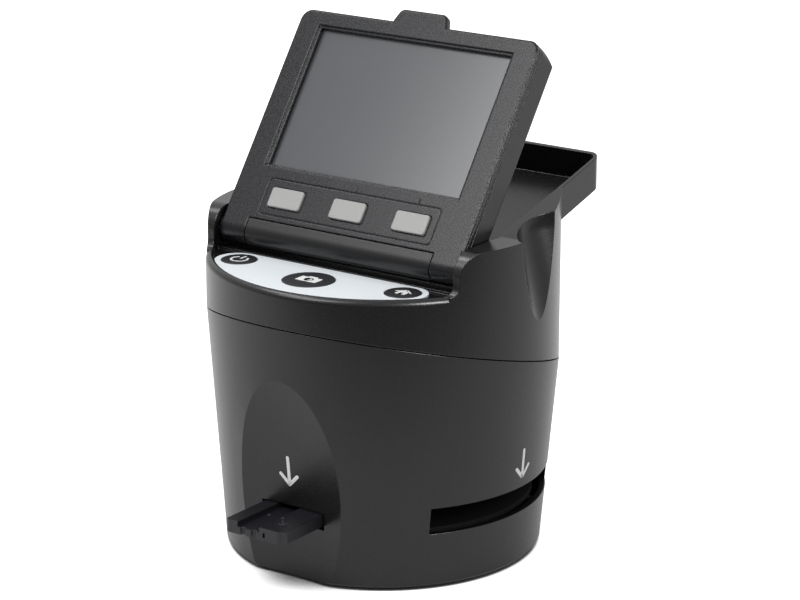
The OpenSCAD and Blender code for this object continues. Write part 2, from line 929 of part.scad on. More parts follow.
module film_insert() {
    front = -insert_reach;
    half = insert_w / 2;
    nose_r = 2.6;
    channel_x = -1.9;                     // the channel's centre lies left of the middle
    window_pitch = 16;
    top_bevel = 0.7;
    color(ink)
    difference() {
        intersection() {
            translate([0, 0, insert_z])
                linear_extrude(insert_t)
                    union() {
                        translate([-half, front + nose_r])
                            square([insert_w, insert_l - nose_r]);
                        translate([-half + nose_r, front])
                            square([insert_w - 2 * nose_r, nose_r + 1]);
                        for (x = [-half + nose_r, half - nose_r])
                            translate([x, front + nose_r])
                                circle(r = nose_r);
                    }
            // long edges of the upper face are bevelled
            translate([0, front - 1, 0])
                rotate([-90, 0, 0])
                    linear_extrude(insert_l + 2)
                        polygon([
                            [-half, 0], [-half, -insert_top + top_bevel], [-half + top_bevel, -insert_top],
                            [half - top_bevel, -insert_top], [half, -insert_top + top_bevel], [half, 0]
                        ]);
        }
        // film channel, open at both ends
        translate([channel_x - film_w / 2, front - 1, insert_top - film_d])
            cube([film_w, insert_l + 2, film_d + 1]);
        // image windows along the channel
        for (n = [1 : 5])
            translate([channel_x - film_w / 2 + 1, insert_end + 2 - n * window_pitch, 0])
                cube([film_w - 2, window_pitch - 3, far]);
        // two finger notches in the channel's front end
        for (x = [-2.2, 2.2])
            translate([channel_x + x, front, 0])
                cylinder(r = 1.1, h = far);
        // small slot in the front face
        translate([4.1, front - 1, insert_z + 1.0])
            cube([0.9, 2.4, 1.7]);
    }
}

// ---- light and camera ----

module light_box() {
    color(white)
    difference() {
        block(box_w, box_d, base_t, guide_z - guide_t);
        block(box_w - 2 * box_wall - 4, box_d - 2 * box_wall - 4, 0, far);
        block(box_w - 2 * box_wall, box_d - 2 * box_wall, guide_z - guide_t - diffuser_t - fit, far);
        block(box_w - 2 * box_wall, box_d - 2 * box_wall, 0, led_z + board_t + fit);
    }
}

module led_board() {
    color(pcb_green)
    block(box_w - 2 * box_wall - 2 * fit, box_d - 2 * box_wall - 2 * fit, led_z, led_z + board_t);
    color(white)
    for (x = [-15 : 10 : 15], y = [-10 : 10 : 10])
        translate([x, y, 0])
            block(3.4, 2.8, led_z + board_t - eps, led_z + board_t + 0.8);
}

module light_diffuser() {
    color([0.95, 0.95, 0.95])
    block(box_w - 2 * box_wall - 2 * fit, box_d - 2 * box_wall - 2 * fit,
          guide_z - guide_t - diffuser_t - fit, guide_z - guide_t - fit);
}

module camera_tower() {
    collar_r = lens_r + 3;
    color(graphite)
    difference() {
        union() {
            block(tower_w, tower_w, tower_z, tower_top);
            for (x = [-14, 14], y = [-14, 14])
                translate([x, y, 0])
                    tube_solid(2.2, tower_top - eps, sensor_z);
        }
        difference() {
            block(tower_w - 2 * tower_wall, tower_w - 2 * tower_wall, 0, tower_top - tower_wall);
            tube_solid(collar_r, tower_top - 8, far);
        }
        tube_solid(lens_r + 0.03, 0, far);
    }
}

module lens_barrel() {
    color(black)
    difference() {
        tube_solid(lens_r, lens_low, lens_low + lens_l);
        tube_solid(lens_r - lens_wall, lens_low - 1, lens_low + glass_seat);
        tube_solid(lens_r - lens_wall - 1.6, lens_low - 1, tower_top + lens_l);
    }
}

module lens_glass() {
    dome = 30;
    seat = lens_low + glass_seat - fit;
    color([0.6, 0.7, 0.85])
    intersection() {
        tube_solid(lens_r - lens_wall - 0.05, lens_low - 2, seat);
        translate([0, 0, seat + dome - 1.6])
            sphere(r = dome);
    }
}

module sensor_board() {
    color(pcb_green)
    block(sensor_w, sensor_w, sensor_z, sensor_z + board_t);
}

module sensor_chip() {
    color(black)
    block(9, 9, sensor_z - 1.4, sensor_z);
}

module sensor_ribbon() {
    t = 0.4;
    ribbon_w = 12;
    start = sensor_w / 2 - 8;
    top = sensor_z + board_t;
    end = main_top - 2;
    bend = (sensor_w / 2 + socket_board_y) / 2;
    color(white)
    along_x(ribbon_w)
        polygon([
            [start, top], [bend, top], [socket_board_y - 4, end], [socket_board_y, end],
            [socket_board_y, end + t], [socket_board_y - 4, end + t], [bend + t, top + t], [start, top + t]
        ]);
}

// ---- main board and sockets ----

module main_board() {
    color(pcb_green)
    difference() {
        translate([-main_w / 2, socket_board_y, main_bottom])
            cube([main_w, board_t, main_top - main_bottom]);
        // the card socket passes through the board
        translate([-card_w / 2 - fit, 0, card_z - card_h / 2 - fit])
            cube([card_w + 2 * fit, far, card_h + 2 * fit]);
    }
}

module board_chips() {
    chip_t = 1.2;
    // place as shares of the board's width and height, then width and height
    color(black)
    for (c = [[-0.15, 0.65, 12, 12], [0.23, 0.61, 9, 7], [0.22, 0.87, 7, 4], [-0.36, 0.61, 6, 8]])
        translate([c[0] * main_w, socket_board_y - chip_t / 2, main_bottom + c[1] * (main_top - main_bottom)])
            cube([c[2], chip_t, c[3]], center = true);
}

module socket_body(i, front = socket_board_y + board_t) {
    s = sockets[i];
    translate([s[0] - s[1] / 2, front, s[3] - s[2] / 2])
        cube([s[1], socket_end - front, s[2]]);
}

module socket_mouth(i, rim, depth) {
    s = sockets[i];
    translate([s[0] - s[1] / 2 + rim, socket_end - depth, s[3] - s[2] / 2 + rim])
        cube([s[1] - 2 * rim, depth + 1, s[2] - 2 * rim]);
}

// Tongue that carries the contacts in a socket's mouth
module socket_tongue(i, side, t) {
    s = sockets[i];
    translate([s[0] - s[1] / 2 + side, socket_end - socket_l + 0.9, s[3] - t / 2])
        cube([s[1] - 2 * side, socket_l - 2.1, t]);
}

module usb_socket() {
    color(steel) {
        difference() {
            socket_body(0);
            socket_mouth(0, 0.4, socket_l - 1.3);
        }
        socket_tongue(0, 1.6, 0.7);
    }
}

module hdmi_socket() {
    color(steel) {
        difference() {
            socket_body(1);
            socket_mouth(1, 0.5, socket_l - 1.3);
        }
        socket_tongue(1, 2.6, 1.2);
    }
}

module audio_socket() {
    jack_r = 1.8;
    jack_d = socket_l - 0.3;
    color(black)
    difference() {
        socket_body(2);
        translate([sockets[2][0], socket_end - jack_d, socket_z])
            rotate([-90, 0, 0])
                cylinder(r = jack_r, h = jack_d + 1);
    }
}

module card_socket() {
    color(steel)
    difference() {
        socket_body(3, socket_end - card_d);
        socket_mouth(3, 0.5, card_d - 2);
    }
}

// ---- hinge ----

module at_hinge_side(side) {
    mirror([side, 0, 0])
        translate([0, -hinge_y, hinge_z])
            rotate([0, 90, 0])
                children();
}

module hinge_pins() {
    color(steel)
    for (side = [0, 1])
        at_hinge_side(side)
            difference() {
                tube_solid(pin_r, case_half_w - pin_in, bay_half_w + ear_bore_d - 0.2);
                tube_solid(pin_bore_r, 0, far);
                // way out of the bore for the lead
                translate([0, 0, lead_x])
                    rotate([0, 90, 0])
                        cylinder(r = lead_r + seat_gap, h = pin_r + 1);
            }
}

module hinge_washers() {
    mid = (case_half_w + bay_half_w) / 2;
    washer_r = 4.2;
    color(steel)
    for (side = [0, 1])
        at_hinge_side(side)
            difference() {
                tube_solid(washer_r, mid - washer_t / 2, mid + washer_t / 2);
                tube_solid(pin_r + pin_gap, 0, far);
            }
}

// Round lead from the key board through the left hinge pin into the screen
module screen_lead() {
    inner_x = -barrel_half_w + 2 * pin_r; // ends inside the barrel
    turn_z = ceiling_z - 2.2;
    board_x = 2 * pin_r - lead_x + 1.6;   // ends on the key board, beside the ear
    color(ink) {
        translate([-lead_x, -hinge_y, hinge_z])
            rotate([0, 90, 0])
                cylinder(r = lead_r, h = lead_x + inner_x);
        translate([-lead_x, -hinge_y, hinge_z])
            sphere(r = lead_r);
        translate([-lead_x, -hinge_y, turn_z])
            cylinder(r = lead_r, h = hinge_z - turn_z);
        translate([-lead_x, -hinge_y, turn_z])
            sphere(r = lead_r);
        translate([-lead_x, -hinge_y, turn_z])
            rotate([0, 90, 0])
                cylinder(r = lead_r, h = lead_x + board_x);
        translate([board_x, -hinge_y, turn_z])
            sphere(r = lead_r);
        translate([board_x, -hinge_y, key_board_z + board_t])
            cylinder(r = lead_r, h = turn_z - key_board_z - board_t);
    }
}

// ---- screen, drawn in its own frame: hinge axis at the origin, +Y up the case, +Z out of its face ----

module on_screen() {
    translate([0, -hinge_y, hinge_z])
        rotate([90 - screen_lean, 0, 0])
            children();
}

module case_outline(inset = 0) {
    half = case_half_w - inset;
    top = case_l - inset;
    r = case_corner_r - inset;
    translate([-half, 0])
        square([2 * half, top - r]);
    translate([-half + r, 0])
        square([2 * half - 2 * r, top]);
    for (x = [-half + r, half - r])
        translate([x, top - r])
            circle(r = r);
}

module slab(z0, z1) {
    translate([0, 0, z0])
        linear_extrude(z1 - z0)
            children();
}

// A bar round the hinge axis
module barrel(r, x0, x1) {
    translate([x0, 0, 0])
        rotate([0, 90, 0])
            cylinder(r = r, h = x1 - x0);
}

// Tab with slanted sides and round corners
module tab_outline(inset = 0) {
    r = 2.4;
    slant = 20;
    steps = 6;
    root = case_l - 2;
    centre_y = case_l + tab_h - r;
    centre_x = tab_w / 2 - r / cos(slant) - (centre_y - case_l) * tan(slant);
    root_x = tab_w / 2 + 2 * tan(slant) - inset / cos(slant);
    corner = [for (k = [0 : steps]) polar(r - inset, slant + (90 - slant) * k / steps)];
    polygon(concat(
        [[-root_x, root], [root_x, root]],
        [for (c = corner) [centre_x + c[0], centre_y + c[1]]],
        [for (k = [steps : -1 : 0]) [-centre_x - corner[k][0], centre_y + corner[k][1]]]
    ));
}

module view_outline(grow = 0) {
    w = view_w + 2 * grow;
    h = view_h + 2 * grow;
    translate([-w / 2, view_y - h / 2])
        square([w, h]);
}

module at_soft_key(i) {
    translate([(i - 1) * soft_pitch, soft_y, 0])
        children();
}

// Rectangle with round corners, centred
module round_box(w, h, r) {
    translate([-w / 2 + r, -h / 2])
        square([w - 2 * r, h]);
    translate([-w / 2, -h / 2 + r])
        square([w, h - 2 * r]);
    for (x = [-w / 2 + r, w / 2 - r], y = [-h / 2 + r, h / 2 - r])
        translate([x, y])
            circle(r = r, $fn = 32);
}

module soft_outline(grow = 0) {
    round_box(soft_w + 2 * grow, soft_h + 2 * grow, 1.0);
}

module screen_bezel() {
    face_bevel = 0.5;
    lip_in = case_wall + 1.0;
    lip_t = 0.8;
    lip_h = 1.2;
    lip_foot = 18;
    way = barrel_half_w + lug_gap;
    color(graphite)
    on_screen()
        difference() {
            union() {
                slab(bezel_back, face_z - face_bevel)
                    case_outline();
                slab(face_z - face_bevel - eps, face_z)
                    case_outline(face_bevel);
                slab(face_z - tab_t, face_z - face_bevel)
                    tab_outline();
                slab(face_z - face_bevel - eps, face_z)
                    tab_outline(face_bevel);
                // lip that reaches into the back cover
                slab(bezel_back - lip_h, bezel_back + eps)
                    difference() {
                        case_outline(lip_in);
                        case_outline(lip_in + lip_t);
                        translate([-far, -far])
                            square([2 * far, far + lip_foot]);
                    }
                barrel(face_z, -case_half_w, -way);
                barrel(face_z, way, case_half_w);
                for (b = screen_bosses)
                    translate([b[0], b[1], 0])
                        tube_solid(screen_boss_r, case_back + case_wall + fit, bezel_back + eps);
            }
            // space for the middle of the barrel, which belongs to the back cover
            translate([-way, -far, -far])
                cube([2 * way, far + barrel_edge, 2 * far]);
            barrel(pin_r + pin_gap, -far / 2, far / 2);
            // opening with a bevelled edge, and the window's seat behind it
            slab(-far, far)
                view_outline(-0.9);
            for (n = [0, 1])
                view_bevel(n);
            slab(-far, face_z - window_d)
                view_outline(1.6);
            // soft key holes
            for (i = [0, 1, 2])
                at_soft_key(i)
                    slab(-far, far)
                        soft_outline(key_gap);
            for (b = screen_bosses)
                translate([b[0], b[1], 0])
                    tube_solid(0.75, case_back, bezel_back + 1.6);
            // engraved line round the soft keys, and index marks
            slab(face_z - 0.25, far)
                key_frame_lines();
            side_line();
        }
}

// Fine groove round the bezel's sides and top, on both sides of the tab
module side_line() {
    line_z = face_z - 1.7;
    line_w = 0.3;
    line_d = 0.3;
    slab(line_z, line_z + line_w)
        difference() {
            case_outline(-1);
            case_outline(line_d);
            translate([-tab_w / 2 - 2, 0])
                square([tab_w + 4, far]);
        }
}

// Bevel of the screen opening, one pair of edges at a time
module view_bevel(n) {
    b = 0.9;
    half = ((n == 0) ? view_w : view_h) / 2;
    l = (n == 0) ? view_h : view_w;
    translate([0, view_y, face_z])
        rotate([90, 0, 90 * n])
            translate([0, 0, -l / 2])
                linear_extrude(l)
                    polygon([
                        [-half, eps], [half, eps], [half, 0], [half - b, -b], [b - half, -b], [-half, 0]
                    ]);
}

module key_frame_lines() {
    line_w = 0.35;
    frame_w = 71;
    frame_h = 13.4;
    frame_y = soft_y + 0.2;
    difference() {
        translate([0, frame_y])
            round_box(frame_w, frame_h, 1.4);
        translate([0, frame_y])
            round_box(frame_w - 2 * line_w, frame_h - 2 * line_w, 1.4 - line_w);
    }
    for (i = [-1, 0, 1])
        translate([i * soft_pitch - line_w / 2, frame_y + frame_h / 2 - 0.2])
            square([line_w, 2.2]);
}

module screen_window() {
    color([0.35, 0.37, 0.4, 0.6])
    on_screen()
        slab(face_z - window_d - window_t, face_z - window_d)
            view_outline(1.5);
}

module lcd_panel() {
    front = face_z - window_d - window_t - 0.1;
    color([0.3, 0.31, 0.33])
    on_screen()
        slab(front - lcd_t, front)
            view_outline(1.2);
}

module screen_board() {
    board_foot = 8;
    board_l = case_l - view_top + 0.15 - board_foot;
    color(pcb_green)
    on_screen()
        difference() {
            slab(soft_board_z - 1.0, soft_board_z)
                translate([-screen_board_w / 2, board_foot])
                    square([screen_board_w, board_l]);
            for (b = screen_bosses)
                translate([b[0], b[1], 0])
                    tube_solid(2.2, -far, far);
        }
}

module soft_key_switches() {
    color(steel)
    on_screen()
        for (i = [0, 1, 2])
            at_soft_key(i)
                tube_solid(switch_r, soft_board_z, soft_board_z + switch_h);
}

// Cross-section of the back cover, in the case's Y and Z, with a slanted top end and a bevelled foot
module cover_section(inset = 0) {
    foot_z = -5.0;
    foot_l = 6;
    back = case_back + inset;
    top = case_l - fit - inset / cos(cover_draft);
    front = face_z + 1;
    polygon([
        [0, front], [0, foot_z], [foot_l, back],
        [top - (cover_front - back) * tan(cover_draft), back], [top, cover_front], [top, front]
    ]);
}

// Cross-section of the back cover, in X and Z, with rounded back edges
module cover_width(inset = 0) {
    r = 0.8;
    half = case_half_w - inset;
    back = case_back + inset;
    front = face_z + 1;
    translate([-half + r, back])
        square([2 * half - 2 * r, front - back]);
    translate([-half, back + r])
        square([2 * half, front - back - r]);
    for (x = [-half + r, half - r])
        translate([x, back + r])
            circle(r = r);
}

module cover_body(inset, z1) {
    intersection() {
        slab(case_back - 1, z1)
            case_outline(inset);
        along_x(far)
            cover_section(inset);
        translate([0, far / 2, 0])
            rotate([90, 0, 0])
                linear_extrude(far)
                    cover_width(inset);
    }
}

module screen_back_cover() {
    lug_way = face_z + lug_gap;           // the case's foot stays clear of the bezel's hinge lugs
    color(black)
    on_screen()
        difference() {
            union() {
                difference() {
                    cover_body(0, face_z);
                    intersection() {
                        cover_body(case_wall, far);
                        slab(-far, far) {
                            translate([-far / 2, lug_way + case_wall])
                                square([far, far]);
                            translate([-barrel_half_w + 2, 6.4])
                                square([2 * barrel_half_w - 4, far]);
                        }
                    }
                    for (x = [-case_half_w - 1, barrel_half_w])
                        translate([x, -far, -far])
                            cube([case_half_w + 1 - barrel_half_w, far + lug_way, 2 * far]);
                }
                barrel(face_z, -barrel_half_w, barrel_half_w);
            }
            // room for the bezel, above the barrel's upper edge
            slab(cover_front, far)
                translate([-far, barrel_edge - lug_gap])
                    square([2 * far, far]);
            barrel(3.6, -far, barrel_half_w - 2);
            barrel_line();
            for (b = screen_bosses)
                translate([b[0], b[1], 0]) {
                    tube_solid(0.95, -far, far);
                    tube_solid(2.0, -far, case_back + 1.0);
                }
        }
}

// Fine groove along the front of the barrel's middle part
module barrel_line() {
    w = 0.4;
    d = 0.3;
    rotate([160, 0, 0])
        translate([-case_half_w, face_z - d, -w / 2])
            cube([2 * case_half_w, 1, w]);
}

module screen_screws() {
    on_screen()
        for (b = screen_bosses)
            translate([b[0], b[1], 0])
                screw(case_back + 1.0, 6, r = 0.7, head_r = 1.8, head_h = 0.9);
}

module soft_key(i) {
    edge = 0.15;
    top = face_z + soft_proud;
    color(key_grey)
    on_screen()
        at_soft_key(i) {
            slab(soft_flange_z - eps, top - edge)
                soft_outline();
            slab(top - edge - eps, top)
                soft_outline(-edge);
            slab(soft_flange_z - flange_t, soft_flange_z)
                soft_outline(0.8);
            tube_solid(stem_r, soft_stem_z, soft_flange_z);
        }
}

module soft_key_left() {
    soft_key(0);
}

module soft_key_centre() {
    soft_key(1);
}

module soft_key_right() {
    soft_key(2);
}

lower_shell();
upper_shell();
base_plate();
rubber_feet();
base_screws();
shell_screws();
lower_film_guide();
upper_film_guide();
guide_legs();
guide_sleeve();
detent_spring();
film_insert();
light_box();
led_board();
light_diffuser();
camera_tower();
lens_barrel();
lens_glass();
sensor_board();
sensor_chip();
sensor_ribbon();
main_board();
board_chips();
usb_socket();
hdmi_socket();
audio_socket();
card_socket();
key_plate();
power_key();
capture_key();
home_key();
key_board();
key_switches();
key_board_screws();
hinge_pins();
hinge_washers();
screen_lead();
screen_bezel();
screen_window();
lcd_panel();
screen_board();
soft_key_switches();
screen_back_cover();
screen_screws();
soft_key_left();
soft_key_centre();
soft_key_right();
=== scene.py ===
"""Looks of a desktop film negative scanner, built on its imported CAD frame."""

import math

import bmesh
import bpy
from mathutils import Matrix, Vector
from mathutils.bvhtree import BVHTree


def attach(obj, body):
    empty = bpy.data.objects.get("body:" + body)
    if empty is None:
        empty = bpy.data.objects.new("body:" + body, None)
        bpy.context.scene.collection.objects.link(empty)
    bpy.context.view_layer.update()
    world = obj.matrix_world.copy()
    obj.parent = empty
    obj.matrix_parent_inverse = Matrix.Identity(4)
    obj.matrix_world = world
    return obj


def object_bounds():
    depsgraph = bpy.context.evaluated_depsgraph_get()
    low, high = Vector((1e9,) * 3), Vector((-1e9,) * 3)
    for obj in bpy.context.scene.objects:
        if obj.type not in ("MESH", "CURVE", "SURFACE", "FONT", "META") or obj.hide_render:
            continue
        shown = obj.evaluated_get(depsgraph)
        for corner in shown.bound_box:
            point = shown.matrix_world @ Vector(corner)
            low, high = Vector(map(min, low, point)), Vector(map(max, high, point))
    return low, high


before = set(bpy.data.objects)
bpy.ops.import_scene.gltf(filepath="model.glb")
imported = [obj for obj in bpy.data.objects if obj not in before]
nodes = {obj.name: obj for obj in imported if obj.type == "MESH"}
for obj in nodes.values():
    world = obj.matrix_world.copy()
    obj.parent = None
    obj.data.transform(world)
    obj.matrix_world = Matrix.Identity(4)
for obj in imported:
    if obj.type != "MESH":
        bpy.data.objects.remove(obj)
cad_lo, cad_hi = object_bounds()
MM = 0.001

# Places taken from the CAD source, in millimetres
KEY_TOP = 100.95                    # top of the round keys
KEY_X, KEY_Y = 33.87, -35.8         # centre of the right small key; the left one mirrors it
BIG_KEY_Y = -41.7                   # centre of the large key between them
INSERT_TOP = 24.1                   # upper face of the film insert

# Places read from the photograph, in millimetres
FRONT_ARROW = (-1.2, -52.5, 36.6)   # in front of the scoop
SIDE_ARROW = (57, 0.8, 36.3)        # above the right side slot
INSERT_MARKS = (0, -65, INSERT_TOP + 1)

# Print on the plastic, in millimetres
PRINT_SINK = 0.03                   # depth of the print's underside in the surface
PRINT_CELL = 1.2                    # longest edge, so that the print follows a curved surface
DROP_HEIGHT = 20                    # height from which the outlines drop onto the surface
SPLIT_ROUNDS = 4                    # most times that the long edges are halved


# ---- shader nodes ----------------------------------------------------------

def new_material(name):
    """A material with one principled shader; returns it with its node tree and the shader."""
    m = bpy.data.materials.new(name)
    m.use_nodes = True
    tree = m.node_tree
    tree.nodes.clear()
    out = tree.nodes.new("ShaderNodeOutputMaterial")
    bsdf = tree.nodes.new("ShaderNodeBsdfPrincipled")
    tree.links.new(bsdf.outputs[0], out.inputs[0])
    return m, tree, bsdf


def add_node(tree, kind, **inputs):
    """A node whose constants are set on the sockets of those names."""
    n = tree.nodes.new(kind)
    for key, value in inputs.items():
        n.inputs[key.replace("_", " ")].default_value = value
    return n


def object_coords(tree):
    """Place in the object's own frame, in metres."""
    return tree.nodes.new("ShaderNodeTexCoord").outputs["Object"]


def noise(tree, coords, scale, detail, roughness=0.5):
    """Smooth random level round 0.5, with scale waves to the metre."""
    n = add_node(tree, "ShaderNodeTexNoise", Scale=scale, Detail=detail, Roughness=roughness)
    tree.links.new(coords, n.inputs["Vector"])
    return n.outputs["Fac"]


def colour_ramp(tree, source, stops):
    """Colour that blends between two stops, each a position and a colour."""
    ramp = tree.nodes.new("ShaderNodeValToRGB")
    elements = ramp.color_ramp.elements
    for element, (position, colour) in zip(elements, stops):
        element.position = position
        element.color = (*colour, 1)
    tree.links.new(source, ramp.inputs[0])
    return ramp.outputs[0]


def scaled(tree, source, span, result):
    """source mapped from one span of values to another, and kept within it."""
    n = add_node(tree, "ShaderNodeMapRange",
                 From_Min=span[0], From_Max=span[1], To_Min=result[0], To_Max=result[1])
    tree.links.new(source, n.inputs["Value"])
    return n.outputs[0]


def along(tree, source, direction):
    """How far the vector source reaches along a direction."""
    n = tree.nodes.new("ShaderNodeVectorMath")
    n.operation = "DOT_PRODUCT"
    n.inputs[1].default_value = direction
    tree.links.new(source, n.inputs[0])
    return n.outputs["Value"]


def maths(tree, operation, *values):
    """Result of a math node whose inputs are sockets or plain numbers."""
    n = tree.nodes.new("ShaderNodeMath")
    n.operation = operation
    for socket, value in zip(n.inputs, values):
        if isinstance(value, float):
            socket.default_value = value
        else:
            tree.links.new(value, socket)
    return n.outputs[0]


def grey(tree, level):
    """A colour with the same level in all three channels."""
    n = tree.nodes.new("ShaderNodeCombineColor")
    for channel in range(3):
        tree.links.new(level, n.inputs[channel])
    return n.outputs[0]


# ---- materials -------------------------------------------------------------

def plastic(name, colour, rough=0.45, grain=0.35, grain_depth=0.012, mottle=0.08,
            specular=0.5, bevel=0.25, rough_spread=0.06):
    """Moulded plastic: fine eroded grain, faint mottle and rounded edges. Lengths in mm."""
    m, tree, bsdf = new_material(name)
    coords = object_coords(tree)

    slow = noise(tree, coords, scale=45.0, detail=3.0)
    low = [c * (1 - mottle) for c in colour]
    high = [c * (1 + mottle) for c in colour]
    tree.links.new(colour_ramp(tree, slow, [(0.3, low), (0.7, high)]), bsdf.inputs["Base Color"])

    fine = noise(tree, coords, scale=1000.0 / grain, detail=2.0, roughness=0.6)
    spread = scaled(tree, fine, (0.3, 0.7), (rough - rough_spread, rough + rough_spread))
    tree.links.new(spread, bsdf.inputs["Roughness"])

    edge = add_node(tree, "ShaderNodeBevel", Radius=bevel * MM)
    edge.samples = 6
    bump = add_node(tree, "ShaderNodeBump", Strength=1.0, Distance=grain_depth * MM)
    tree.links.new(fine, bump.inputs["Height"])
    tree.links.new(edge.outputs[0], bump.inputs["Normal"])
    tree.links.new(bump.outputs[0], bsdf.inputs["Normal"])
    bsdf.inputs["Specular IOR Level"].default_value = specular
    return m


def metal(name, colour):
    """Plated metal with a fine, slightly uneven tone."""
    m, tree, bsdf = new_material(name)
    uneven = noise(tree, object_coords(tree), scale=900.0, detail=3.0)
    low = [c * 0.85 for c in colour]
    tree.links.new(colour_ramp(tree, uneven, [(0.3, low), (0.7, colour)]),
                   bsdf.inputs["Base Color"])
    bsdf.inputs["Metallic"].default_value = 1.0
    bsdf.inputs["Roughness"].default_value = 0.25
    return m


def circuit_board(name):
    """Green board with paler lines between its copper fields."""
    m, tree, bsdf = new_material(name)
    cells = add_node(tree, "ShaderNodeTexVoronoi", Scale=260.0)
    cells.feature = "DISTANCE_TO_EDGE"
    tree.links.new(object_coords(tree), cells.inputs["Vector"])
    tree.links.new(colour_ramp(tree, cells.outputs["Distance"],
                               [(0.02, (0.09, 0.32, 0.14)), (0.08, (0.03, 0.17, 0.07))]),
                   bsdf.inputs["Base Color"])
    bsdf.inputs["Roughness"].default_value = 0.35
    return m


def glass(name):
    """Clear lens glass."""
    m, tree, bsdf = new_material(name)
    bsdf.inputs["Base Color"].default_value = (0.9, 0.95, 0.97, 1)
    bsdf.inputs["Transmission Weight"].default_value = 1.0
    bsdf.inputs["Roughness"].default_value = 0.02
    bsdf.inputs["IOR"].default_value = 1.5
    return m


def display_window(name):
    """Anti-glare cover over a switched-off display: a smooth grey with a soft, wide gloss."""
    m, tree, bsdf = new_material(name)
    coords = object_coords(tree)
    haze = noise(tree, coords, scale=14.0, detail=2.0)
    tree.links.new(colour_ramp(tree, haze,
                               [(0.3, (0.066, 0.069, 0.077)), (0.7, (0.070, 0.073, 0.081))]),
                   bsdf.inputs["Base Color"])
    bump = add_node(tree, "ShaderNodeBump", Strength=0.3, Distance=0.001 * MM)
    tree.links.new(noise(tree, coords, scale=9000.0, detail=1.0), bump.inputs["Height"])
    tree.links.new(bump.outputs[0], bsdf.inputs["Normal"])
    bsdf.inputs["Roughness"].default_value = 0.2
    bsdf.inputs["Specular IOR Level"].default_value = 0.8
    return m


housing = plastic("housing_plastic", (0.0050, 0.0050, 0.0054), rough=0.30, rough_spread=0.05,
                  grain_depth=0.007, bevel=0.4)
upper = plastic("upper_housing_plastic", (0.0048, 0.0048, 0.0052), rough=0.28, rough_spread=0.05,
                grain_depth=0.007, specular=0.48, bevel=0.5)
bezel = plastic("bezel_plastic", (0.0035, 0.0037, 0.0065), rough=0.28, rough_spread=0.08,
                grain=0.5, grain_depth=0.03, specular=0.38, bevel=0.7)
cover = plastic("screen_cover_plastic", (0.0055, 0.0057, 0.0065), rough=0.32, specular=0.42,
                bevel=0.6)
rubber = plastic("rubber", (0.012, 0.012, 0.012), rough=0.8, grain_depth=0.03)
guide = plastic("guide_plastic", (0.003, 0.003, 0.0033), rough=0.7, specular=0.15)
insert = plastic("insert_plastic", (0.0075, 0.0078, 0.0115), rough=0.36, grain_depth=0.006,
                 bevel=0.3)
white_matt = plastic("white_matt_plastic", (0.78, 0.79, 0.79), rough=0.6)
plate = plastic("key_plate_plastic", (0.87, 0.915, 0.945), rough=0.3, grain_depth=0.004,
                mottle=0.01, bevel=0.2)
key_dark = plastic("round_key_plastic", (0.014, 0.0145, 0.0175), rough=0.4, grain_depth=0.005,
                   bevel=0.1)
soft_key = plastic("soft_key_plastic", (0.345, 0.350, 0.34), rough=0.42, grain_depth=0.008,
                   mottle=0.02, bevel=0.2)
print_white = plastic("white_print", (0.80, 0.81, 0.80), rough=0.5, grain_depth=0.004, bevel=0.03)
mark_grey = plastic("embossed_mark", (0.05, 0.05, 0.062), rough=0.35, grain_depth=0.004,
                    bevel=0.05)
steel = metal("zinc_plated_steel", (0.62, 0.63, 0.65))
board = circuit_board("circuit_board")
clear = glass("lens_glass_material")
window = display_window("display_window_material")

LOOKS = (
    (housing, ("lower_shell", "base_plate")),
    (upper, ("upper_shell",)),
    (bezel, ("screen_bezel",)),
    (cover, ("screen_back_cover",)),
    (rubber, ("rubber_feet", "screen_lead")),
    (guide, ("lower_film_guide", "upper_film_guide", "guide_legs", "guide_sleeve", "camera_tower",
             "lens_barrel", "sensor_chip", "board_chips", "audio_socket", "lcd_panel")),
    (insert, ("film_insert",)),
    (white_matt, ("light_box", "light_diffuser", "sensor_ribbon")),
    (plate, ("key_plate",)),
    (key_dark, ("power_key", "capture_key", "home_key")),
    (soft_key, ("soft_key_left", "soft_key_centre", "soft_key_right")),
    (steel, ("base_screws", "shell_screws", "detent_spring", "usb_socket", "hdmi_socket",
             "card_socket", "key_switches", "key_board_screws", "hinge_pins", "hinge_washers",
             "soft_key_switches", "screen_screws")),
    (board, ("led_board", "sensor_board", "main_board", "key_board", "screen_board")),
    (clear, ("lens_glass",)),
    (window, ("screen_window",)),
)
look_of = {name: material for material, names in LOOKS for name in names}
for name, obj in nodes.items():
    obj.data.materials.clear()
    obj.data.materials.append(look_of[name])


# ---- outlines of the printed symbols, in millimetres -------------------------

def on_circle(r, degrees, cx=0.0, cy=0.0):
    """Point of a circle at an angle."""
    t = math.radians(degrees)
    return cx + r * math.cos(t), cy + r * math.sin(t)


def disc(cx, cy, r, n=16):
    return [on_circle(r, 360 * i / n, cx, cy) for i in range(n)]


def ring_sector(r0, r1, a0, a1, n=40):
    """A band between two radii from angle a0 to a1, in degrees, as a strip of quads."""
    ends = [a0 + (a1 - a0) * i / n for i in range(n + 1)]
    return [[on_circle(r0, s), on_circle(r1, s), on_circle(r1, e), on_circle(r0, e)]
            for s, e in zip(ends, ends[1:])]


def bar(x0, y0, x1, y1, w, n=8):
    """A straight stroke of width w between two points, with rounded ends."""
    d = Vector((x1 - x0, y1 - y0)).normalized() * (w / 2)
    across = Vector((-d.y, d.x))
    pts = []
    for (cx, cy), start in (((x1, y1), -90), ((x0, y0), 90)):
        for k in range(n + 1):
            c, s = on_circle(1, start + 180 * k / n)
            pts.append((cx + d.x * c + across.x * s, cy + d.y * c + across.y * s))
    return pts


